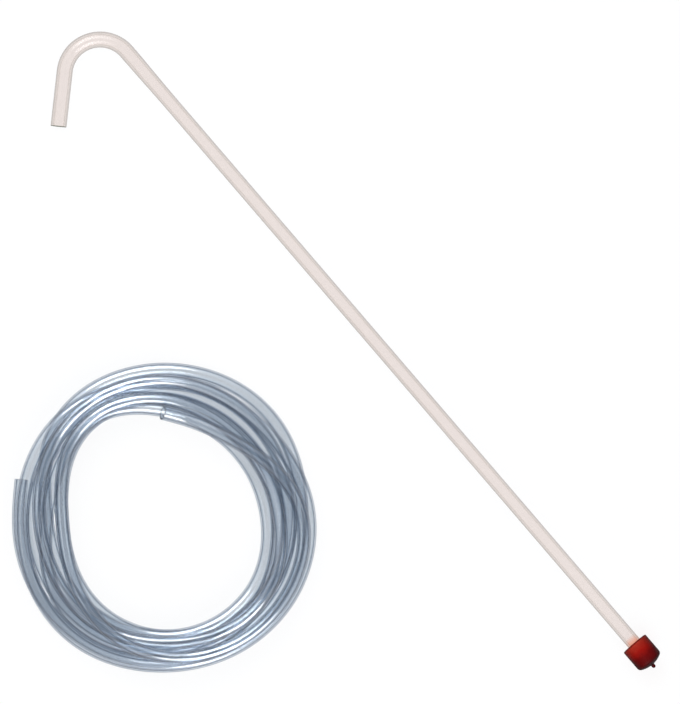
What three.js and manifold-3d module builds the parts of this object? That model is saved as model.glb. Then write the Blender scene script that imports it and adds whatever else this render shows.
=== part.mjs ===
// Siphon cane with a push-on sediment tip and a loose coil of clear hose, lying on a floor.
// Millimetres, +Z up. +X runs along the cane's long leg, from the hook to the tip.
// The origin is on the floor, under the middle of the box round the cane and its tip.
import * as THREE from 'three';
import { mergeVertices } from 'three/addons/utils/BufferGeometryUtils.js';
import Module from 'manifold-3d';

// ---- Driving dimensions -------------------------------------------------------------------
const CANE_OD = 9.5; // rigid clear tube, 3/8 in
const CANE_BORE = 6.5;
const BEND_RADIUS = 23.2; // centreline of the hook
const BEND_ANGLE = 133; // degrees turned from the long leg to the short one
const LONG_LEG = 519.8; // from the bend to the end inside the tip
const SHORT_LEG = 36.6; // from the bend to the open end
const HOOK_SWELL = 1.1; // the bend and short leg swelled when the tube was heated to bend it
const HOOK_OD = CANE_OD * HOOK_SWELL;
const SWELL_REACH = 45; // how much of the long leg the swelling eases in over

const TIP_OD = 18.7;
const TIP_LENGTH = 18.2; // without the pip
const TIP_WALL = 1.5;
const TIP_FLOOR = 3.5; // on the axis, flat inside
const TIP_DOME = 17.0; // radius that the bottom bulges to
const TIP_EDGE = 2.8; // round of the lower edge
const TIP_RIM = 0.7; // round of the upper rim
const PIP_DIAMETER = 2.5; // moulding pip on the axis
const PIP_LENGTH = 2.5;
const GRIP = 10.0; // how far the cane goes into the tip
const RIB_COUNT = 4;
const RIB_WIDTH = 1.6;
const RIB_ROOT = 0.5; // how far the ribs run into the wall and the floor
const LEDGE_REACH = 1.6; // how far each rib's foot goes under the cane's end
const FIT_GAP = 0.3; // between the cane and the tip's ribs and ledges

const COIL_OUTER = 101.5; // outer radius of the coiled hose, 4.1 m of 9 mm hose in 7.8 turns
const COIL_INNER = 58.0;
const COIL_HEIGHT = 32.0;
const COIL_ROUND = 9.0; // how round the bundle's section is
const COIL_ALONG = -3.7; // the coil's middle, from the origin
const COIL_ACROSS = -149.6;

// ---- Smoothness ---------------------------------------------------------------------------
const TUBE_SIDES = 24;
const BEND_STEPS = 18;
const TIP_SIDES = 40;
const COIL_SIDES = 56;
const ROUND_STEPS = 4;

const radians = THREE.MathUtils.degToRad;
const wasm = await Module();
wasm.setup();

// ---- Where the cane rests -----------------------------------------------------------------
// Its wider tip holds the lower end up, and the hook rolls on the floor until the cane's weight
// is over the line between the tip and one point of the bend, REST_ANGLE round from the leg.
const REST_ANGLE = 139.3;
const TIP_MOUTH = LONG_LEG - GRIP;
const TIP_FACE = TIP_MOUTH + TIP_LENGTH;
const inward = new THREE.Vector2(-Math.cos(radians(REST_ANGLE)), -Math.sin(radians(REST_ANGLE)));
const restPoint = new THREE.Vector2(0, -BEND_RADIUS).addScaledVector(inward, -BEND_RADIUS);
const tipReach = new THREE.Vector2(TIP_MOUTH + TIP_RIM, 0).sub(restPoint).dot(inward);
const slope = (TIP_OD - HOOK_OD) / 2 / tipReach;

// The middle of the box round cane and tip, in the cane's own plane.
const endAngle = radians(90 + BEND_ANGLE);
const shortWay = new THREE.Vector2(-Math.sin(endAngle), Math.cos(endAngle));
const bendEnd = new THREE.Vector2(Math.cos(endAngle), Math.sin(endAngle)).multiplyScalar(BEND_RADIUS);
bendEnd.y -= BEND_RADIUS;
const openEnd = bendEnd.clone().addScaledVector(shortWay, SHORT_LEG);
const LEFT = -BEND_RADIUS - HOOK_OD / 2;
const RIGHT = TIP_FACE + PIP_LENGTH;
const FRONT = openEnd.y - (HOOK_OD / 2) * shortWay.x;
const BACK = TIP_OD / 2;
const MIDDLE = new THREE.Vector2((LEFT + RIGHT) / 2, (FRONT + BACK) / 2);

// ---- Helpers ------------------------------------------------------------------------------
function merged(geometry) {
  const plain = geometry.index ? geometry.toNonIndexed() : geometry.clone();
  plain.deleteAttribute('normal');
  plain.deleteAttribute('uv');
  return mergeVertices(plain, 1e-4);
}

function solid(geometry) {
  const joined = merged(geometry);
  const mesh = new wasm.Mesh({
    numProp: 3,
    vertProperties: new Float32Array(joined.attributes.position.array),
    triVerts: new Uint32Array(joined.index.array),
  });
  return new wasm.Manifold(mesh);
}

function geometryOf(manifold) {
  const { vertProperties, triVerts } = manifold.getMesh();
  const geometry = new THREE.BufferGeometry();
  geometry.setAttribute('position', new THREE.BufferAttribute(vertProperties, 3));
  geometry.setIndex(new THREE.BufferAttribute(triVerts, 1));
  geometry.computeVertexNormals();
  return geometry;
}

function material(color, roughness, opacity = 1) {
  return new THREE.MeshStandardMaterial({
    color, roughness, metalness: 0, opacity, transparent: opacity < 1,
  });
}

// Points of a quarter round from one heading to another, in degrees.
function roundPoints(centreX, centreY, radius, from, to) {
  return Array.from({ length: ROUND_STEPS + 1 }, (_, i) => {
    const angle = radians(from + ((to - from) * i) / ROUND_STEPS);
    return new THREE.Vector2(centreX + radius * Math.cos(angle), centreY + radius * Math.sin(angle));
  });
}

// ---- Cane: one tube, long leg, bend and short leg -----------------------------------------
// Its stations are the lower end, where the swelling starts, even steps round the bend and the
// open end. Each is a place on the centreline, the way on from there and the swelling.
function caneStations() {
  const back = new THREE.Vector3(-1, 0, 0);
  const stations = [
    { place: new THREE.Vector3(LONG_LEG, 0, 0), way: back, swell: 1 },
    { place: new THREE.Vector3(SWELL_REACH, 0, 0), way: back, swell: 1 },
  ];
  for (let i = 0; i <= BEND_STEPS; i += 1) {
    const angle = radians(90 + (BEND_ANGLE * i) / BEND_STEPS);
    const spoke = new THREE.Vector3(Math.cos(angle), Math.sin(angle), 0);
    const place = new THREE.Vector3(0, -BEND_RADIUS, 0).addScaledVector(spoke, BEND_RADIUS);
    stations.push({ place, way: new THREE.Vector3(-spoke.y, spoke.x, 0), swell: HOOK_SWELL });
  }
  const place = new THREE.Vector3(openEnd.x, openEnd.y, 0);
  const way = new THREE.Vector3(shortWay.x, shortWay.y, 0);
  stations.push({ place, way, swell: HOOK_SWELL });
  return stations;
}

class CaneLine extends THREE.Curve {
  constructor(stations) {
    super();
    this.stations = stations;
  }
  station(share) {
    return this.stations[Math.round(share * (this.stations.length - 1))];
  }
  getPointAt(share) {
    return this.station(share).place.clone();
  }
  getTangentAt(share) {
    return this.station(share).way.clone();
  }
}

function caneGeometry() {
  const ring = (radius) => Array.from({ length: TUBE_SIDES }, (_, i) => {
    const angle = (2 * Math.PI * i) / TUBE_SIDES;
    return new THREE.Vector2(radius * Math.cos(angle), radius * Math.sin(angle));
  });
  const section = new THREE.Shape(ring(CANE_OD / 2));
  section.holes.push(new THREE.Path(ring(CANE_BORE / 2)));
  const stations = caneStations();
  const extrudePath = new CaneLine(stations);
  const sweep = { steps: stations.length - 1, extrudePath, bevelEnabled: false };
  const tube = merged(new THREE.ExtrudeGeometry(section, sweep));

  // Each vertex moves out from its own station, which is the nearest one.
  const { position } = tube.attributes;
  const vertex = new THREE.Vector3();
  for (let i = 0; i < position.count; i += 1) {
    vertex.fromBufferAttribute(position, i);
    const apart = stations.map(({ place }) => place.distanceTo(vertex));
    const { place, swell } = stations[apart.indexOf(Math.min(...apart))];
    vertex.sub(place).multiplyScalar(swell).add(place);
    position.setXYZ(i, vertex.x, vertex.y, vertex.z);
  }
  return tube;
}

// ---- Sediment tip: a cup with ribs that grip the cane and ledges that stop its end ---------
// Turned about its own axis with the mouth at height 0 and the floor above it, then laid down.
function tipGeometry() {
  const outer = TIP_OD / 2;
  const inner = outer - TIP_WALL;
  const pip = PIP_DIAMETER / 2;
  const floor = TIP_LENGTH - TIP_FLOOR;
  // The round edge runs on into the domed bottom at the angle where the two are tangent.
  const crown = TIP_LENGTH - TIP_DOME;
  const edgeOut = outer - TIP_EDGE;
  const edgeUp = Math.sqrt((TIP_DOME - TIP_EDGE) ** 2 - edgeOut ** 2);
  const tangent = THREE.MathUtils.radToDeg(Math.atan2(edgeUp, edgeOut));
  const neck = THREE.MathUtils.radToDeg(Math.acos(pip / TIP_DOME));
  const profile = [
    new THREE.Vector2(0, floor),
    new THREE.Vector2(inner, floor),
    ...roundPoints(inner + TIP_RIM, TIP_RIM, TIP_RIM, 180, 270),
    ...roundPoints(outer - TIP_RIM, TIP_RIM, TIP_RIM, 270, 360),
    ...roundPoints(edgeOut, crown + edgeUp, TIP_EDGE, 0, tangent),
    ...roundPoints(0, crown, TIP_DOME, tangent, neck).slice(1),
    ...roundPoints(0, TIP_LENGTH + PIP_LENGTH - pip, pip, 0, 90),
  ];
  profile[profile.length - 1].x = 0;
  let tip = solid(new THREE.LatheGeometry(profile, TIP_SIDES));

  const grip = CANE_OD / 2 + FIT_GAP;
  const ledge = GRIP + FIT_GAP;
  const rib = new THREE.Shape([
    new THREE.Vector2(grip, TIP_RIM * 2),
    new THREE.Vector2(grip, ledge),
    new THREE.Vector2(CANE_OD / 2 - LEDGE_REACH, ledge),
    new THREE.Vector2(CANE_OD / 2 - LEDGE_REACH, floor + RIB_ROOT),
    new THREE.Vector2(inner + RIB_ROOT, floor + RIB_ROOT),
    new THREE.Vector2(inner + RIB_ROOT, TIP_RIM * 2),
  ]);
  for (let i = 0; i < RIB_COUNT; i += 1) {
    const blade = new THREE.ExtrudeGeometry(rib, { depth: RIB_WIDTH, bevelEnabled: false });
    blade.translate(0, 0, -RIB_WIDTH / 2);
    blade.rotateY((2 * Math.PI * (i + 0.5)) / RIB_COUNT);
    tip = tip.add(solid(blade));
  }
  const geometry = geometryOf(tip);
  geometry.rotateZ(-Math.PI / 2); // the turned axis now runs along +X, mouth first
  geometry.translate(TIP_MOUTH, 0, 0);
  return merged(geometry);
}

// ---- Coiled hose: the outer shape of its bundle of turns ----------------------------------
function coilGeometry() {
  const low = COIL_ROUND;
  const high = COIL_HEIGHT - COIL_ROUND;
  const profile = [
    ...roundPoints(COIL_OUTER - COIL_ROUND, low, COIL_ROUND, -90, 0),
    ...roundPoints(COIL_OUTER - COIL_ROUND, high, COIL_ROUND, 0, 90),
    ...roundPoints(COIL_INNER + COIL_ROUND, high, COIL_ROUND, 90, 180),
    ...roundPoints(COIL_INNER + COIL_ROUND, low, COIL_ROUND, 180, 270),
  ];
  profile.push(profile[0].clone());
  const ring = new THREE.LatheGeometry(profile, COIL_SIDES);
  ring.rotateX(Math.PI / 2);
  return merged(ring);
}

// ---- Assembly -----------------------------------------------------------------------------
const laid = new THREE.Group(); // the cane's own plane, laid on the floor
const downhill = new THREE.Vector3(-inward.x, -inward.y, 0);
const hinge = new THREE.Vector3(0, 0, 1).cross(downhill).normalize();
laid.quaternion.setFromAxisAngle(hinge, Math.atan(slope));
const rest = new THREE.Vector3(restPoint.x, restPoint.y, 0).applyQuaternion(laid.quaternion);
laid.position.set(-MIDDLE.x, -MIDDLE.y, HOOK_OD / 2 - rest.z);

const cane = new THREE.Mesh(caneGeometry(), material(0xf0e6e4, 0.08, 0.35));
cane.name = 'cane';
laid.add(cane);

const tip = new THREE.Mesh(tipGeometry(), material(0xa31d14, 0.35));
tip.name = 'sediment_tip';
laid.add(tip);

const hose = new THREE.Mesh(coilGeometry(), material(0x8ea1b4, 0.15, 0.5));
hose.name = 'hose_coil';
hose.position.set(COIL_ALONG, COIL_ACROSS, 0);

const siphon = new THREE.Group();
siphon.add(laid, hose);
export default siphon;
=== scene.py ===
# Siphon cane with a push-on sediment tip and a loose coil of clear hose, lying on a pale floor.
# Metres, +Z up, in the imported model's frame. Fine clear meshes stand for the three CAD solids.
import math

import bmesh
import bpy
import numpy as np
from mathutils import Matrix, Vector


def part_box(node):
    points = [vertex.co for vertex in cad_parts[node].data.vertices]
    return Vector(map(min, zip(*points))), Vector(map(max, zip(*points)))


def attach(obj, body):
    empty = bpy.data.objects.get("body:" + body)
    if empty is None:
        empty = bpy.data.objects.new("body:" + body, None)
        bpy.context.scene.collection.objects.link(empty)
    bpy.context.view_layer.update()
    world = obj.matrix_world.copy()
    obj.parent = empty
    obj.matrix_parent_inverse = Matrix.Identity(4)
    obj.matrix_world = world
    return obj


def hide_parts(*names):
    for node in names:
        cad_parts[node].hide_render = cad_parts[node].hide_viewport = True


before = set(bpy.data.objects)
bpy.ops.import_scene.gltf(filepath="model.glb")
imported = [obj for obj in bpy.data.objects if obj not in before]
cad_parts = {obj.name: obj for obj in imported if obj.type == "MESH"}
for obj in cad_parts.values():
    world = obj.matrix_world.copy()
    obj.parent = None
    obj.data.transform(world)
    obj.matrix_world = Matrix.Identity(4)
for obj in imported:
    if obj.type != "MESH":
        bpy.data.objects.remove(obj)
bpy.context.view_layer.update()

MM = 0.001

# ---- Driving dimensions, the same as the model's, in millimetres -------------------------------
CANE_OD = 9.5
CANE_BORE = 6.5
BEND_RADIUS = 23.2
BEND_ANGLE = 133.0
LONG_LEG = 519.8
SHORT_LEG = 36.6
HOOK_SWELL = 1.1  # the bend and short leg swelled when the tube was heated to bend it
HOOK_OD = CANE_OD * HOOK_SWELL
SWELL_REACH = 45.0  # how much of the long leg the swelling eases in over
REST_ANGLE = 139.3  # where on the bend the cane rests

TIP_OD = 18.7
TIP_LENGTH = 18.2  # without the pip
TIP_WALL = 1.5
TIP_FLOOR = 3.5  # on the axis, flat inside
TIP_DOME = 17.0  # radius that the bottom bulges to
TIP_EDGE = 2.8  # round of the lower edge
TIP_RIM = 0.7  # round of the mouth's edges
TIP_CORNER = 1.2  # round of the corner inside
PIP_DIAMETER = 2.5  # moulding pip on the axis
PIP_LENGTH = 2.5
PIP_NECK = 0.35  # round between the pip and the bottom
PIP_NECK_END = 0.3  # where that round ends along the pip
TIP_SIDES = 96
GRIP = 10.0  # how far the cane goes into the tip
PAINTED_GLOW_FADE = 5.0  # how much of the cane above the mouth has the tip's red light painted on it
RIB_COUNT = 4
RIB_WIDTH = 1.6
RIB_ROOT = 0.5  # how far the ribs run into the wall and the floor
RIB_LEAD_LENGTH = 1.2  # the slope at a rib's mouth end, along it and outwards
RIB_LEAD_DEPTH = 0.7
LEDGE_REACH = 1.6  # how far each rib's foot goes under the cane's end
FIT_GAP = 0.3  # between the cane and the tip's ribs and ledges

HOSE_OD = 9.0
HOSE_BORE = 7.0
HOSE_STEP = 5.0  # between the points of the route while it settles
FINE_STEP = 3.2  # between the points of the finished line
END_RISE = 6.0  # the upper end springs up by this much
END_REACH = 25.0  # over this last stretch of the hose

# The edges of the cane's sawn ends and the hose's cut ones are a little rounded, in a few steps.
CANE_END_ROUND = 0.4
HOSE_END_ROUND = 0.12
ROUND_STEPS = 3
CANE_SIDES = 48
HOSE_SIDES = 24
OUTSIDE, BORE, END_FACE = 0, 1, 2  # a tube's materials, in order

# How far out the hose lies at each eighth of a turn, clockwise from the far side, in
# millimetres. The first row is the top turn, from the hose's upper end, and the last the lowest.
TURNS = (
    (72, 68, 90, 96, 88, 74, 66, 82),
    (80.5, 75, 77, 86, 83, 82.5, 83, 87),
    (88, 85, 94, 93, 94, 96, 93, 91),
    (84, 80, 82, 80, 86, 90, 79, 79),
    (68, 65, 66, 76, 80, 74, 67.5, 78),
    (78, 74, 75, 84, 82, 83, 87, 87),
    (87, 82.5, 82.5, 87, 89, 79, 77, 94),
    (96.5, 96, 89, 93, 95, 97, 96, 94),
)
TOTAL_TURN = 2805.0  # degrees, from the upper end to the lower one
EIGHTH = 45.0
ROUTE_SAMPLES = 20001  # points of the plan before it is cut into even steps

# The least and the most that a turn's centreline may lie out, at each twelfth of a turn. The
# lowest turn alone keeps to its own row, so it shows outside the others at the far right.
HOLE = (67, 64.5, 64.5, 66.5, 73, 77, 77.5, 75, 69.5, 64.5, 72, 80)
RIM = (90, 87, 88.5, 95, 97.5, 97, 96.5, 98.5, 97.5, 92.5, 93.5, 93.5)

# How the laid turns settle. A springier hose keeps straighter.
LAID_STIFFNESS = 60.0
DROPPING_STIFFNESS = 20.0
SETTLED_STIFFNESS = 1.5
DROP_SPACING = 9.5  # height from turn to turn before they drop on each other
SETTLE_ROUNDS = 800
CALM_ROUNDS = 200  # the last ones, in which it moves less
FIRST_MOVES = (0.15, 0.03)  # in a round: how far it falls, and its share of the way to the plan
CALM_MOVES = (0.03, 0.004)
PAIR_ROUNDS = 20  # how often the pairs that may touch are found again
PAIR_REACH = 1.9  # hose widths apart that two points may be to make a pair
PAIR_SKIP = 2.5  # hose widths along the hose that are too near to make one
TOUCH_REACH = 0.55  # steps along their run that two touching points may be apart
TOUCH_PASSES = 4
TOUCH_PUSH = 1.5  # above 1 hurries them apart


# ---- The view ----------------------------------------------------------------------------------
VIEW_TURN = 49.38  # degrees from +X to the picture's right
VIEW_CENTRE = (-11.2, 8.0)  # in millimetres, as are the next four
VIEW_HEIGHT = 5000.0
VIEW_SPAN = 460.6  # height of the picture at the object
OBJECT_LEVEL = 6.0
SENSOR = 36.0
LAMP_TURN = 20.0  # degrees to the left of the far side: the line that the lamps stand on
LAMP_HEIGHT = 1.2  # metres
FLOOR_RADIUS = 8.0  # metres, far beyond what any view takes in
FLOOR_GAP = 0.0002  # metres, so that nothing on the floor shares its surface


# ---- Helpers -----------------------------------------------------------------------------------
def add_object(name, mesh):
    piece = bpy.data.objects.new(name, mesh)
    bpy.context.scene.collection.objects.link(piece)
    return piece


def closed_mesh(name, verts, faces):
    """A mesh from points in millimetres, with every face turned to look outwards."""
    mesh = bpy.data.meshes.new(name)
    mesh.from_pydata([tuple(c * MM for c in v) for v in verts], [], faces)
    made = bmesh.new()
    made.from_mesh(mesh)
    bmesh.ops.recalc_face_normals(made, faces=made.faces)
    made.to_mesh(mesh)
    made.free()
    return mesh


def view_ways(left_turn=0.0):
    """Level unit vectors to the picture's right and far side, turned left by left_turn degrees."""
    turn = math.radians(VIEW_TURN + left_turn)
    right = np.array((math.cos(turn), math.sin(turn)))
    far = np.array((-math.sin(turn), math.cos(turn)))
    return right, far


def shade_smooth(mesh):
    mesh.polygons.foreach_set("use_smooth", [True] * len(mesh.polygons))


def lengths_along(points):
    """How far along the line each of its points is."""
    return np.concatenate([[0.0], np.cumsum(np.linalg.norm(np.diff(points, axis=0), axis=1))])


def frames_along(points):
    """The line's way at each point, and two unit vectors across it, carried along untwisted."""
    ways = np.gradient(points, axis=0)
    ways /= np.linalg.norm(ways, axis=1)[:, None]
    side = np.cross(ways[0], (0.0, 0.0, 1.0))
    side /= np.linalg.norm(side)
    sides = np.empty_like(points)
    for i, way in enumerate(ways):
        side = side - way * side.dot(way)
        side /= np.linalg.norm(side)
        sides[i] = side
    return ways, sides, np.cross(ways, sides)


def tube_rows(outer, inner, end_round):
    """The tube wall's rings in order, along the outside and back through the bore.

    Each is the point that it belongs to, how far it is pushed past it, and its radius."""
    last = len(outer) - 1
    turn = np.linspace(0.0, math.pi / 2, ROUND_STEPS + 1)
    rows = [(i, 0.0, outer[i]) for i in range(last + 1)]
    for a in turn[1:]:
        rows.append((last, end_round * math.sin(a), outer[last] - end_round * (1 - math.cos(a))))
    for a in turn[::-1][:-1]:
        rows.append((last, end_round * math.sin(a), inner[last] + end_round * (1 - math.cos(a))))
    rows += [(i, 0.0, inner[i]) for i in range(last, -1, -1)]
    for a in turn[1:]:
        rows.append((0, -end_round * math.sin(a), inner[0] + end_round * (1 - math.cos(a))))
    for a in turn[::-1][:-1]:
        rows.append((0, -end_round * math.sin(a), outer[0] - end_round * (1 - math.cos(a))))
    return [np.array(column) for column in zip(*rows)]


def tube_parts(size, count):
    """Which material each ring of faces has, for a tube of size points and count rings."""
    end = 2 * ROUND_STEPS
    part = np.full(count, OUTSIDE, np.int32)
    part[size - 1:size + end] = END_FACE
    part[size + end:2 * size + end - 1] = BORE
    part[2 * size + end - 1:] = END_FACE
    return part


def hollow_tube(name, points, outer, inner, end_round, sides):
    """One closed hollow tube along the points, with its sharp edges rounded by end_round.

    outer and inner are radii, one for each point. UV runs round the tube and along it."""
    ways, left, up = frames_along(points)
    index, push, radius = tube_rows(outer, inner, end_round)
    angles = np.arange(sides) * 2 * math.pi / sides
    around = np.stack([np.cos(angles), np.sin(angles)], 1)
    centre = points[index] + ways[index] * push[:, None]
    spokes = (around[None, :, :1] * left[index][:, None] + around[None, :, 1:] * up[index][:, None])
    verts = centre[:, None] + spokes * radius[:, None, None]

    count = len(index)
    row, col = np.meshgrid(np.arange(count), np.arange(sides), indexing="ij")
    next_row, next_col = (row + 1) % count, (col + 1) % sides
    faces = np.stack([row * sides + col, row * sides + next_col,
                      next_row * sides + next_col, next_row * sides + col], -1).reshape(-1, 4)
    mesh = bpy.data.meshes.new(name)
    mesh.from_pydata((verts.reshape(-1, 3) * MM).tolist(), [], faces.tolist())
    part = tube_parts(len(points), count)
    mesh.polygons.foreach_set("material_index", np.repeat(part, sides))

    along = (lengths_along(points)[index] + push) * MM
    u = np.stack([col, col + 1, col + 1, col], -1).reshape(-1) / sides
    v = np.stack([along[row], along[row], along[next_row], along[next_row]], -1).reshape(-1)
    layer = mesh.uv_layers.new(name="UVMap")
    layer.data.foreach_set("uv", np.stack([u, v], 1).reshape(-1).astype(np.float32))
    shade_smooth(mesh)
    return add_object(name, mesh)


# ---- Where the cane lies -----------------------------------------------------------------------
def cane_place():
    """The cane's own plane laid on the floor: its wider tip and one point of the bend touch."""
    rest = math.radians(REST_ANGLE)
    inward = Vector((-math.cos(rest), -math.sin(rest), 0))
    rest_point = Vector((0, -BEND_RADIUS, 0)) - inward * BEND_RADIUS
    reach = (Vector((LONG_LEG - GRIP + TIP_RIM, 0, 0)) - rest_point).dot(inward)
    slope = (TIP_OD - HOOK_OD) / 2 / reach
    hinge = Vector((0, 0, 1)).cross(-inward).normalized()
    tilt = Matrix.Rotation(math.atan(slope), 4, hinge)
    end = math.radians(90 + BEND_ANGLE)
    short_way = Vector((-math.sin(end), math.cos(end), 0))
    open_end = Vector((math.cos(end), math.sin(end), 0)) * BEND_RADIUS + short_way * SHORT_LEG
    open_end.y -= BEND_RADIUS
    front = open_end.y - HOOK_OD / 2 * short_way.x
    right = LONG_LEG - GRIP + TIP_LENGTH + PIP_LENGTH
    middle_x = (-BEND_RADIUS - HOOK_OD / 2 + right) / 2
    middle_y = (front + TIP_OD / 2) / 2
    lift = HOOK_OD / 2 - (tilt @ rest_point).z
    return Matrix.Translation((-middle_x, -middle_y, lift)) @ tilt


# ---- Hose route --------------------------------------------------------------------------------
def planned_route():
    """The turns as they are laid by hand, seen from above: their points, and each one's level.

    A smooth curve runs through the rows of TURNS, at compass angles psi from the far side."""
    knots = np.array(TURNS, float).ravel()
    psi = np.linspace(0, TOTAL_TURN, ROUTE_SAMPLES)
    i = np.minimum((psi / EIGHTH).astype(int), len(knots) - 2)
    f = psi / EIGHTH - i
    padded = np.concatenate([[2 * knots[0] - knots[1]], knots, [knots[-1], knots[-1]]])
    a, b, c, d = (padded[i + k] for k in range(4))
    radius = b + f / 2 * (c - a + f * (2 * a - 5 * b + 4 * c - d + f * (3 * (b - c) + d - a)))
    line = np.stack([radius * np.sin(np.radians(psi)), radius * np.cos(np.radians(psi))], 1)
    along = np.concatenate([[0], np.cumsum(np.hypot(*np.diff(line, axis=0).T))])
    at = np.linspace(0, along[-1], int(round(along[-1] / HOSE_STEP)) + 1)
    psi = np.interp(at, along, psi)
    plan = np.stack([np.interp(at, along, line[:, k]) for k in range(2)], 1)
    level = (TOTAL_TURN - psi) / 360
    return stiffened(len(plan), LAID_STIFFNESS) @ plan, level


def stiffened(count, stiffness):
    """The matrix that bends a line of points as a springy rod of that stiffness would lie."""
    second = np.zeros((count - 2, count))
    k = np.arange(count - 2)
    second[k, k], second[k, k + 1], second[k, k + 2] = 1, -2, 1
    return np.linalg.inv(np.eye(count) + stiffness * second.T @ second)


def near_pairs(route, step):
    """The pairs of points that may come to touch, leaving out neighbours along the hose."""
    square = (route ** 2).sum(1)
    apart = square[:, None] + square[None] - 2 * route @ route.T
    skip = int(PAIR_SKIP * HOSE_OD / step) + 1
    return np.nonzero(np.triu(apart < (PAIR_REACH * HOSE_OD) ** 2, skip))


def keep_in_ring(route, plan, level):
    """Brings each turn towards its place between hole and rim, the lowest one to its own row."""
    compass = np.arange(0, 361, 30)
    least, most = (np.append(edge, edge[0]) for edge in (HOLE, RIM))
    out = np.hypot(route[:, 0], route[:, 1])
    angle = np.degrees(np.arctan2(route[:, 0], route[:, 1])) % 360
    widest = np.where(level < 1.0, np.hypot(*plan.T), np.interp(angle, compass, most))
    kept = np.clip(out, np.interp(angle, compass, least), widest)
    route[:, :2] *= ((out + kept) / 2 / out)[:, None]


def push_apart(route, i, j, step):
    """Where two stretches cross or touch, they push each other apart, square to their run."""
    count = len(route)
    way = np.gradient(route, axis=0)
    way /= np.linalg.norm(way, axis=1)[:, None]
    way = way[i] + way[j]
    way /= np.linalg.norm(way, axis=1)[:, None]
    for _ in range(TOUCH_PASSES):
        between = route[i] - route[j]
        along = (between * way).sum(1)
        across = between - along[:, None] * way
        gap = np.linalg.norm(across, axis=1)
        hit = (np.abs(along) <= TOUCH_REACH * step) & (gap < HOSE_OD)
        a, b = i[hit], j[hit]
        push = across[hit] * ((HOSE_OD - gap[hit]) / 2 / np.maximum(gap[hit], 1e-6))[:, None]
        hits = np.maximum(np.bincount(a, minlength=count) + np.bincount(b, minlength=count), 1)
        for k in range(3):
            total = np.bincount(a, push[:, k], count) - np.bincount(b, push[:, k], count)
            route[:, k] += TOUCH_PUSH * total / hits
        route[:, 2] = np.maximum(route[:, 2], HOSE_OD / 2)


def settled_route():
    """Lets the planned turns drop on each other until they lie beside and over one another."""
    plan, level = planned_route()
    count = len(plan)
    step = np.linalg.norm(np.diff(plan, axis=0), axis=1).mean()
    route = np.column_stack([plan, HOSE_OD / 2 + DROP_SPACING * level])
    spring = stiffened(count, DROPPING_STIFFNESS)
    for moment in range(SETTLE_ROUNDS):
        if moment % PAIR_ROUNDS == 0:
            i, j = near_pairs(route, step)
        fall, pull = FIRST_MOVES if moment <= SETTLE_ROUNDS - CALM_ROUNDS else CALM_MOVES
        route[:, 2] -= fall
        route[:, :2] += pull * (plan - route[:, :2])
        keep_in_ring(route, plan, level)
        offset = spring @ np.column_stack([route[:, :2] - plan, route[:, 2]])
        route = offset + np.column_stack([plan, np.zeros(count)])
        push_apart(route, i, j, step)
    return stiffened(count, SETTLED_STIFFNESS) @ route


def hose_line():
    """The settled route in the model's frame, in millimetres, with even fine steps."""
    route = settled_route()
    low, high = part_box("hose_coil")
    middle = (low + high) / 2 / MM
    right, far = view_ways()
    line = np.empty_like(route)
    line[:, :2] = route[:, :1] * right + route[:, 1:2] * far + np.array(middle[:2])
    line[:, 2] = route[:, 2]
    line = evened(line, FINE_STEP)
    along = lengths_along(line)
    line[:, 2] += END_RISE * np.maximum(1 - along / END_REACH, 0) ** 2
    return line


def evened(line, step):
    """The same line through its points as a smooth curve, in steps of one length."""
    ways = np.gradient(line, axis=0)
    share = np.linspace(0, 1, 9)[:-1, None, None]
    a, b, u, v = line[:-1], line[1:], ways[:-1], ways[1:]
    fine = ((2 * share ** 3 - 3 * share ** 2 + 1) * a + (share ** 3 - 2 * share ** 2 + share) * u
            + (3 * share ** 2 - 2 * share ** 3) * b + (share ** 3 - share ** 2) * v)
    fine = np.concatenate([fine.transpose(1, 0, 2).reshape(-1, 3), line[-1:]])
    along = lengths_along(fine)
    at = np.linspace(0, along[-1], int(round(along[-1] / step)) + 1)
    return np.stack([np.interp(at, along, fine[:, k]) for k in range(3)], 1)


# ---- Materials ---------------------------------------------------------------------------------
def new_material(name):
    """A material with an empty node tree."""
    material = bpy.data.materials.new(name)
    material.use_nodes = True
    tree = material.node_tree
    tree.nodes.clear()
    return material, tree


def node(tree, kind, inputs=None, **settings):
    """Adds a node; each input is a value, or another node's output to link."""
    made = tree.nodes.new(kind)
    for key, value in settings.items():
        setattr(made, key, value)
    for key, value in (inputs or {}).items():
        if isinstance(value, bpy.types.NodeSocket):
            tree.links.new(value, made.inputs[key])
        else:
            made.inputs[key].default_value = value
    return made


def ramp(tree, factor, stops):
    """The colour between (place, colour) stops."""
    made = node(tree, "ShaderNodeValToRGB", {"Fac": factor})
    elements = made.color_ramp.elements
    elements[0].position, elements[0].color = stops[0][0], (*stops[0][1], 1)
    elements[1].position, elements[1].color = stops[-1][0], (*stops[-1][1], 1)
    for place, colour in stops[1:-1]:
        elements.new(place).color = (*colour, 1)
    return made.outputs["Color"]


def lets_lamps_through(tree, surface, tint):
    """Clear plastic throws next to no shadow: shadow rays see it as tinted air."""
    rays = node(tree, "ShaderNodeLightPath")
    air = node(tree, "ShaderNodeBsdfTransparent", {"Color": (*tint, 1)})
    mix = node(tree, "ShaderNodeMixShader", {0: rays.outputs["Is Shadow Ray"],
                                            1: surface, 2: air.outputs[0]})
    node(tree, "ShaderNodeOutputMaterial", {"Surface": mix.outputs[0]})


def painted_tip_glow(tree, uv, tint, colour, full, gone):
    """The tint with painted red light from the tip in it, which fades between two lengths along the
    tube.
    """
    length = node(tree, "ShaderNodeSeparateXYZ", {"Vector": uv}).outputs["Y"]
    near = node(tree, "ShaderNodeMapRange", {"Value": length, "From Min": gone,
                                             "From Max": full})
    return node(tree, "ShaderNodeMix", {0: near.outputs[0], 6: tint, 7: (*colour, 1)},
                data_type="RGBA", blend_type="MULTIPLY").outputs[2]


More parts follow.
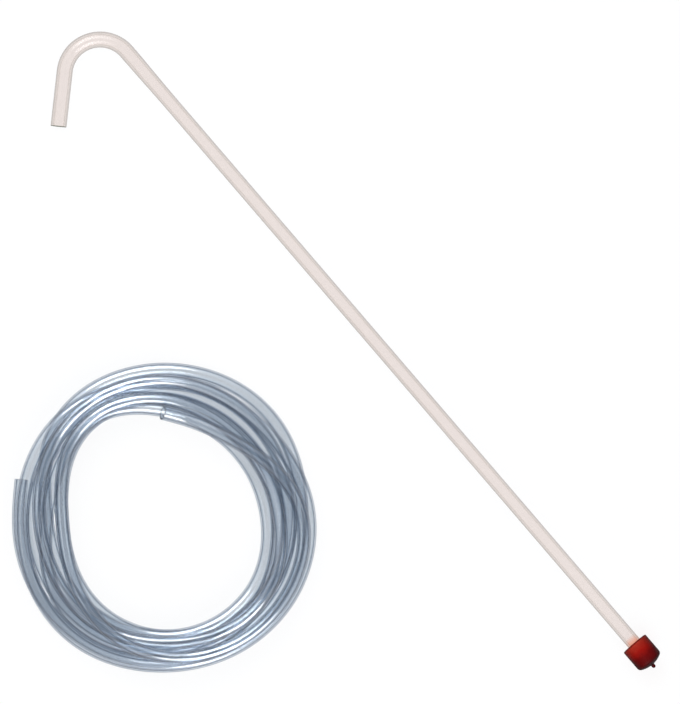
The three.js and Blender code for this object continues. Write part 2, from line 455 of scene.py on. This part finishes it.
def clear_wall_material(name, stops, grain, haze, mirror, glow=None):
    """Clear plastic wall: it tints what is behind it, most where seen edge-on, and is glossy.

    stops are tints from face-on (0) to edge-on (1); grain scales the flow marks round and along
    the tube; haze and mirror are the least and most roughness and reflection; glow is painted light
    from what the tube stands in: its colour, and the two lengths along it where it is full and
    gone."""
    material, tree = new_material(name)
    uv = node(tree, "ShaderNodeTexCoord").outputs["UV"]
    flow = node(tree, "ShaderNodeMapping", {"Vector": uv, "Scale": (*grain, 1)})
    cloud = node(tree, "ShaderNodeTexNoise", {"Vector": flow.outputs[0], "Scale": 1.0,
                                              "Detail": 3.0, "Roughness": 0.5})
    facing = node(tree, "ShaderNodeLayerWeight", {"Blend": 0.5}).outputs["Facing"]
    shift = node(tree, "ShaderNodeMath", {0: cloud.outputs["Fac"], 1: 0.5}, operation="SUBTRACT")
    warp = node(tree, "ShaderNodeMath", {0: shift.outputs[0], 1: 0.15, 2: facing},
                operation="MULTIPLY_ADD")
    tint = ramp(tree, warp.outputs[0], stops)
    # Painted light: the tip's red light, painted into the tint near the tube's lower end.
    if glow:
        tint = painted_tip_glow(tree, uv, tint, *glow)
    clear = node(tree, "ShaderNodeBsdfTransparent", {"Color": tint})
    rough = node(tree, "ShaderNodeMapRange", {"Value": cloud.outputs["Fac"], "To Min": haze[0],
                                              "To Max": haze[1]})
    gloss = node(tree, "ShaderNodeBsdfGlossy", {"Color": (1, 1, 1, 1),
                                                "Roughness": rough.outputs[0]})
    steep = node(tree, "ShaderNodeMath", {0: facing, 1: 4.0}, operation="POWER")
    share = node(tree, "ShaderNodeMapRange", {"Value": steep.outputs[0], "To Min": mirror[0],
                                              "To Max": mirror[1]})
    wall = node(tree, "ShaderNodeMixShader", {0: share.outputs[0], 1: clear.outputs[0],
                                             2: gloss.outputs[0]})
    lets_lamps_through(tree, wall.outputs[0], (0.985, 0.99, 0.995))
    return material


def cut_end_material(name, colour, clearness):
    """The frosted face that a saw or knife leaves across a clear wall."""
    material, tree = new_material(name)
    place = node(tree, "ShaderNodeTexCoord").outputs["Object"]
    marks = node(tree, "ShaderNodeTexNoise", {"Vector": place, "Scale": 900.0, "Detail": 2.0})
    tone = ramp(tree, marks.outputs["Fac"], [(0.3, tuple(0.8 * c for c in colour)), (0.7, colour)])
    bump = node(tree, "ShaderNodeBump", {"Height": marks.outputs["Fac"], "Strength": 0.4,
                                         "Distance": 0.0001})
    face = node(tree, "ShaderNodeBsdfPrincipled", {"Base Color": tone, "Roughness": 0.55,
                                                   "Normal": bump.outputs[0]})
    clear = node(tree, "ShaderNodeBsdfTransparent", {"Color": tone})
    mix = node(tree, "ShaderNodeMixShader", {0: clearness, 1: face.outputs[0], 2: clear.outputs[0]})
    lets_lamps_through(tree, mix.outputs[0], (0.97, 0.97, 0.97))
    return material


def hose_materials():
    outside = [(0.0, (0.92, 0.937, 0.955)), (0.3, (0.887, 0.91, 0.934)), (1.0, (0.41, 0.465, 0.55))]
    bore = [(0.0, (0.924, 0.941, 0.958)), (0.25, (0.88, 0.906, 0.931)), (0.6, (0.51, 0.57, 0.64)),
            (1.0, (0.14, 0.17, 0.23))]
    grain = (2, 16)
    haze = (0.05, 0.16)
    return [clear_wall_material("clear_hose", outside, grain, haze, (0.12, 0.4)),
            clear_wall_material("clear_hose_bore", bore, grain, haze, (0.075, 0.28)),
            cut_end_material("clear_hose_cut", (0.10, 0.13, 0.16), 0.25)]


def cane_materials():
    outside = [(0.0, (0.968, 0.944, 0.933)), (0.13, (0.96, 0.936, 0.924)),
               (0.29, (0.875, 0.84, 0.818)), (0.47, (0.80, 0.767, 0.748)),
               (1.0, (0.66, 0.63, 0.61))]
    bore = [(0.0, (0.965, 0.942, 0.932)), (0.4, (0.955, 0.932, 0.922)), (1.0, (0.88, 0.86, 0.85))]
    # Painted light: the red tip's light on the cane, full inside the tip and fading out above the
    # mouth.
    glow = ((1.0, 0.84, 0.78), GRIP * MM, (GRIP + PAINTED_GLOW_FADE) * MM)
    grain = (1, 4)
    haze = (0.14, 0.22)
    return [clear_wall_material("clear_acrylic", outside, grain, haze, (0.015, 0.2), glow),
            clear_wall_material("clear_acrylic_bore", bore, grain, haze, (0.01, 0.08), glow),
            cut_end_material("clear_acrylic_cut", (0.30, 0.31, 0.26), 0.3)]


def red_plastic_material(mouth):
    """Translucent red with painted light and shade: bright round the cane, dark to the floor and
    edges.
    """
    material, tree = new_material("red_plastic")
    place = node(tree, "ShaderNodeTexCoord").outputs["Object"]
    split = node(tree, "ShaderNodeSeparateXYZ", {"Vector": place})
    painted_light_falloff = node(tree, "ShaderNodeMapRange", {"Value": split.outputs["X"], "From Min": mouth,
                                             "From Max": mouth + TIP_LENGTH * MM})
    cloud = node(tree, "ShaderNodeTexNoise", {"Vector": place, "Scale": 260.0, "Detail": 2.0,
                                              "Roughness": 0.5})
    shift = node(tree, "ShaderNodeMath", {0: cloud.outputs["Fac"], 1: 0.5}, operation="SUBTRACT")
    warp = node(tree, "ShaderNodeMath", {0: shift.outputs[0], 1: 0.2, 2: painted_light_falloff.outputs[0]},
                operation="MULTIPLY_ADD")
    # Painted light and shade: bright red at the mouth, darkening to maroon towards the bottom.
    lit_to_shaded_reds = [(0.0, (0.36, 0.027, 0.014)), (0.3, (0.30, 0.006, 0.003)),
            (0.55, (0.15, 0.002, 0.002)), (1.0, (0.06, 0.002, 0.003))]
    colour = ramp(tree, warp.outputs[0], lit_to_shaded_reds)
    # Painted shade: the red darkens towards the edges that are seen edge-on.
    facing = node(tree, "ShaderNodeLayerWeight", {"Blend": 0.5}).outputs["Facing"]
    shade = ramp(tree, facing, [(0.0, (1.0, 1.0, 1.0)), (0.15, (0.9, 0.9, 0.9)),
                                (0.38, (0.6, 0.6, 0.6)), (0.7, (0.27, 0.25, 0.27))])
    colour = node(tree, "ShaderNodeMix", {6: colour, 7: shade, 0: 1.0}, data_type="RGBA",
                  blend_type="MULTIPLY").outputs[2]
    shader = node(tree, "ShaderNodeBsdfPrincipled",
                  {"Base Color": colour, "Roughness": 0.45, "IOR": 1.35,
                   "Transmission Weight": 0.15, "Specular IOR Level": 0.04})
    lets_lamps_through(tree, shader.outputs[0], (0.97, 0.90, 0.90))
    return material


def floor_material():
    """White to the eye; to the light that bounces between it and the plastic, a pale grey."""
    material, tree = new_material("floor")
    place = node(tree, "ShaderNodeTexCoord").outputs["Object"]
    cloud = node(tree, "ShaderNodeTexNoise", {"Vector": place, "Scale": 2.0, "Detail": 2.0})
    pale = ramp(tree, cloud.outputs["Fac"], [(0.3, (0.17, 0.17, 0.17)), (0.7, (0.19, 0.19, 0.19))])
    seen = node(tree, "ShaderNodeBsdfPrincipled", {"Base Color": pale, "Roughness": 0.9,
                                                   "Specular IOR Level": 0.1,
                                                   "Emission Color": (1, 1, 1, 1),
                                                   "Emission Strength": 0.79}, name="seen")
    felt = node(tree, "ShaderNodeBsdfPrincipled", {"Base Color": (0.70, 0.70, 0.70, 1),
                                                   "Roughness": 0.9,
                                                   "Specular IOR Level": 0.1}, name="felt")
    rays = node(tree, "ShaderNodeLightPath")
    mix = node(tree, "ShaderNodeMixShader", {0: rays.outputs["Is Camera Ray"],
                                            1: felt.outputs[0], 2: seen.outputs[0]})
    node(tree, "ShaderNodeOutputMaterial", {"Surface": mix.outputs[0]})
    return material


# ---- Pieces ------------------------------------------------------------------------------------
def make_hose():
    line = hose_line()
    count = len(line)
    outer = np.full(count, HOSE_OD / 2)
    inner = np.full(count, HOSE_BORE / 2)
    hose = hollow_tube("hose", line, outer, inner, HOSE_END_ROUND, HOSE_SIDES)
    for material in hose_materials():
        hose.data.materials.append(material)
    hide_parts("hose_coil")
    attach(hose, "hose")
    return hose


def cane_line():
    """The centreline in the cane's own plane, from the lower end round to the open end."""
    leg = [(x, 0.0, 0.0) for x in np.linspace(LONG_LEG, 0, 105)[:-1]]
    bend = []
    for angle in np.radians(np.linspace(90, 90 + BEND_ANGLE, 61)):
        bend.append((BEND_RADIUS * math.cos(angle), BEND_RADIUS * (math.sin(angle) - 1), 0.0))
    end = math.radians(90 + BEND_ANGLE)
    way = np.array((-math.sin(end), math.cos(end), 0.0))
    short = [tuple(np.array(bend[-1]) + way * s) for s in np.linspace(0, SHORT_LEG, 12)[1:]]
    return np.array(leg + bend + short)


def make_cane(place):
    line = cane_line()
    line[0, 0] -= CANE_END_ROUND
    line[-1] += (line[-2] - line[-1]) / np.linalg.norm(line[-2] - line[-1]) * CANE_END_ROUND
    near_hook = np.clip(1 - line[:, 0] / SWELL_REACH, 0, 1)
    swell = 1 + (HOOK_SWELL - 1) * near_hook ** 2 * (3 - 2 * near_hook)
    outer = CANE_OD / 2 * swell
    inner = CANE_BORE / 2 * swell
    cane = hollow_tube("cane_tube", line, outer, inner, CANE_END_ROUND, CANE_SIDES)
    cane.data.transform(Matrix.Scale(MM, 4) @ place @ Matrix.Scale(1 / MM, 4))
    for material in cane_materials():
        cane.data.materials.append(material)
    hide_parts("cane")
    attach(cane, "cane")
    return cane


def arc(centre_x, centre_r, radius, start, end, steps=6):
    angles = np.radians(np.linspace(start, end, steps + 1))
    return [(centre_x + radius * math.cos(a), centre_r + radius * math.sin(a)) for a in angles]


def tip_body():
    """The cup, turned about +X with its mouth at 0: (along, out) points from axis to axis."""
    outer = TIP_OD / 2
    inner = outer - TIP_WALL
    pip = PIP_DIAMETER / 2
    floor = TIP_LENGTH - TIP_FLOOR
    profile = [(floor, 0.0)]
    profile += arc(floor - TIP_CORNER, inner - TIP_CORNER, TIP_CORNER, 0, 90)
    profile += arc(TIP_RIM, inner + TIP_RIM, TIP_RIM, 270, 180)
    profile += arc(TIP_RIM, outer - TIP_RIM, TIP_RIM, 180, 90)
    # The round edge runs on into the domed bottom at the angle where the two are tangent.
    crown = TIP_LENGTH - TIP_DOME
    swing = math.asin((outer - TIP_EDGE) / (TIP_DOME - TIP_EDGE))
    edge_along = crown + (TIP_DOME - TIP_EDGE) * math.cos(swing)
    profile += arc(edge_along, outer - TIP_EDGE, TIP_EDGE, 90, math.degrees(swing))
    neck = pip + PIP_NECK
    meet = math.asin(neck / TIP_DOME)
    profile += arc(crown, 0.0, TIP_DOME, math.degrees(swing), math.degrees(meet))[1:]
    profile += arc(TIP_LENGTH + PIP_NECK_END, neck, PIP_NECK, 180, 270, 3)[1:]
    profile += arc(TIP_LENGTH + PIP_LENGTH - pip, 0.0, pip, 90, 0)
    profile[-1] = (TIP_LENGTH + PIP_LENGTH, 0.0)
    return turned("tip_cup", profile, TIP_SIDES)


def turned(name, profile, sides):
    """A closed solid of revolution about +X from (along, out) points, ending on the axis."""
    verts = [(profile[0][0], 0.0, 0.0)]
    for along, out in profile[1:-1]:
        for k in range(sides):
            angle = 2 * math.pi * k / sides
            verts.append((along, out * math.cos(angle), out * math.sin(angle)))
    verts.append((profile[-1][0], 0.0, 0.0))
    last = len(verts) - 1
    rings = len(profile) - 2
    faces = []
    for k in range(sides):
        n = (k + 1) % sides
        faces.append((0, 1 + n, 1 + k))
        for r in range(rings - 1):
            a, b = 1 + r * sides, 1 + (r + 1) * sides
            faces.append((a + k, a + n, b + n, b + k))
        a = 1 + (rings - 1) * sides
        faces.append((a + k, a + n, last))
    return add_object(name, closed_mesh(name, verts, faces))


def tip_rib(index):
    """One blade that grips the cane, with a foot that its end stands on."""
    grip = CANE_OD / 2 + FIT_GAP
    foot = CANE_OD / 2 - LEDGE_REACH
    ledge = GRIP + FIT_GAP
    back = TIP_OD / 2 - TIP_WALL + RIB_ROOT
    deep = TIP_LENGTH - TIP_FLOOR + RIB_ROOT
    start = TIP_RIM * 2
    outline = [(start, grip + RIB_LEAD_DEPTH), (start + RIB_LEAD_LENGTH, grip), (ledge, grip),
               (ledge, foot), (deep, foot), (deep, back), (start, back)]
    half = RIB_WIDTH / 2
    verts = [(x, -half, z) for x, z in outline] + [(x, half, z) for x, z in outline]
    count = len(outline)
    faces = [tuple(range(count - 1, -1, -1)), tuple(range(count, 2 * count))]
    faces += [(k, (k + 1) % count, count + (k + 1) % count, count + k) for k in range(count)]
    mesh = closed_mesh("rib", verts, faces)
    mesh.transform(Matrix.Rotation(2 * math.pi * (index + 0.5) / RIB_COUNT, 4, "X"))
    return add_object("rib_%d" % index, mesh)


def join_solids(base, others):
    """Makes one solid of the base and the others, which are used up."""
    for other in others:
        modifier = base.modifiers.new("join", "BOOLEAN")
        modifier.operation = "UNION"
        modifier.solver = "EXACT"
        modifier.object = other
        bpy.context.view_layer.update()
        graph = bpy.context.evaluated_depsgraph_get()
        mesh = bpy.data.meshes.new_from_object(base.evaluated_get(graph))
        base.modifiers.clear()
        base.data = mesh
        bpy.data.objects.remove(other)
    return base


def make_tip(place):
    tip = join_solids(tip_body(), [tip_rib(k) for k in range(RIB_COUNT)])
    tip.name = "tip_cup"
    shade_smooth(tip.data)
    tip.data.set_sharp_from_angle(angle=math.radians(40))
    mouth = Matrix.Translation((LONG_LEG - GRIP, 0, 0))
    tip.data.transform(Matrix.Scale(MM, 4) @ place @ mouth @ Matrix.Scale(1 / MM, 4))
    tip.data.materials.append(red_plastic_material((place @ mouth).translation.x * MM))
    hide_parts("sediment_tip")
    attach(tip, "tip")
    return tip


# ---- Setting -----------------------------------------------------------------------------------
def make_camera():
    data = bpy.data.cameras.new("camera")
    data.sensor_width = SENSOR
    data.lens = SENSOR * (VIEW_HEIGHT - OBJECT_LEVEL) / VIEW_SPAN
    data.clip_end = 50.0
    camera = bpy.data.objects.new("camera", data)
    camera.location = (VIEW_CENTRE[0] * MM, VIEW_CENTRE[1] * MM, VIEW_HEIGHT * MM)
    camera.rotation_euler = (0, 0, math.radians(VIEW_TURN))
    bpy.context.scene.collection.objects.link(camera)
    bpy.context.scene.camera = camera


def make_lamp(name, right, far, size, power, colour):
    """A round softbox, placed by the picture's right and far directions, aimed at the middle."""
    right_way, far_way = view_ways()
    place = Vector((*(right * right_way + far * far_way), LAMP_HEIGHT))
    data = bpy.data.lights.new(name, "AREA")
    data.shape = "DISK"
    data.size = size
    data.energy = power
    data.color = colour
    lamp = bpy.data.objects.new(name, data)
    lamp.location = place
    lamp.rotation_euler = (-place).to_track_quat("-Z", "Y").to_euler()
    bpy.context.scene.collection.objects.link(lamp)


def make_floor():
    mesh = bpy.data.meshes.new("floor")
    made = bmesh.new()
    bmesh.ops.create_circle(made, cap_ends=True, segments=96, radius=FLOOR_RADIUS)
    made.to_mesh(mesh)
    made.free()
    floor = add_object("floor", mesh)
    floor.location.z = -FLOOR_GAP
    mesh.materials.append(floor_material())


def make_lamps():
    """Two strong lamps across the picture from each other, and two weak ones at its sides."""
    make_lamp("far", right=-0.39, far=1.08, size=1.0, power=14, colour=(0.98, 0.99, 1.0))
    make_lamp("near", right=0.39, far=-1.08, size=1.0, power=13, colour=(1.0, 0.985, 0.97))
    make_lamp("right", right=1.1, far=0.2, size=0.6, power=0.8, colour=(0.96, 0.98, 1.0))
    make_lamp("left", right=-1.1, far=-0.2, size=0.6, power=0.8, colour=(0.96, 0.98, 1.0))


def soft_ceiling(tree, way):
    """A soft band of light overhead, along the line that the two main lamps stand on."""
    lamp_line = view_ways(LAMP_TURN)[1]
    across = node(tree, "ShaderNodeVectorMath", {0: way, 1: (*lamp_line, 0)},
                  operation="DOT_PRODUCT")
    lobe = node(tree, "ShaderNodeMath", {0: across.outputs["Value"], 1: 2.0}, operation="POWER")
    split = node(tree, "ShaderNodeSeparateXYZ", {"Vector": way})
    high = node(tree, "ShaderNodeMath", {0: split.outputs["Z"], 1: 0.0}, operation="MAXIMUM")
    glow = node(tree, "ShaderNodeMath", {0: lobe.outputs[0], 1: high.outputs[0]},
                operation="MULTIPLY")
    band = node(tree, "ShaderNodeMath", {0: glow.outputs[0], 1: 3.0}, operation="MULTIPLY")
    return node(tree, "ShaderNodeBackground", {"Color": (0.97, 0.985, 1.0, 1),
                                               "Strength": band.outputs[0]}).outputs[0]


def make_world():
    """A dim studio, bluer on the far side and warmer on the near one; the eye sees it pale."""
    world = bpy.data.worlds.new("studio")
    world.use_nodes = True
    tree = world.node_tree
    tree.nodes.clear()
    rays = node(tree, "ShaderNodeLightPath")
    seen = node(tree, "ShaderNodeBackground", {"Color": (0.93, 0.94, 0.95, 1), "Strength": 1.0})
    way = node(tree, "ShaderNodeTexCoord").outputs["Generated"]
    far = view_ways()[1]
    away = node(tree, "ShaderNodeVectorMath", {0: way, 1: (*far, 0)}, operation="DOT_PRODUCT")
    side = node(tree, "ShaderNodeMapRange", {"Value": away.outputs["Value"], "From Min": -1.0,
                                             "From Max": 1.0})
    wall = ramp(tree, side.outputs[0], [(0.0, (0.22, 0.18, 0.16)), (0.45, (0.10, 0.11, 0.13)),
                                        (1.0, (0.18, 0.22, 0.29))])
    walls = node(tree, "ShaderNodeBackground", {"Color": wall, "Strength": 1.0})
    light = node(tree, "ShaderNodeAddShader", {0: walls.outputs[0], 1: soft_ceiling(tree, way)})
    mix = node(tree, "ShaderNodeMixShader", {0: rays.outputs["Is Camera Ray"],
                                            1: light.outputs[0], 2: seen.outputs[0]})
    node(tree, "ShaderNodeOutputWorld", {"Surface": mix.outputs[0]})
    bpy.context.scene.world = world


def set_render():
    """Plain display colours, and light paths long enough for many clear walls in a row."""
    scene = bpy.context.scene
    scene.view_settings.view_transform = "Standard"
    scene.cycles.caustics_reflective = False
    scene.cycles.caustics_refractive = False
    scene.cycles.max_bounces = 64
    scene.cycles.transmission_bounces = 64
    scene.cycles.transparent_max_bounces = 96
    scene.cycles.glossy_bounces = 12
    scene.cycles.diffuse_bounces = 4


make_camera()
make_hose()
place = cane_place()
make_cane(place)
make_tip(place)
make_floor()
make_lamps()
make_world()
set_render()
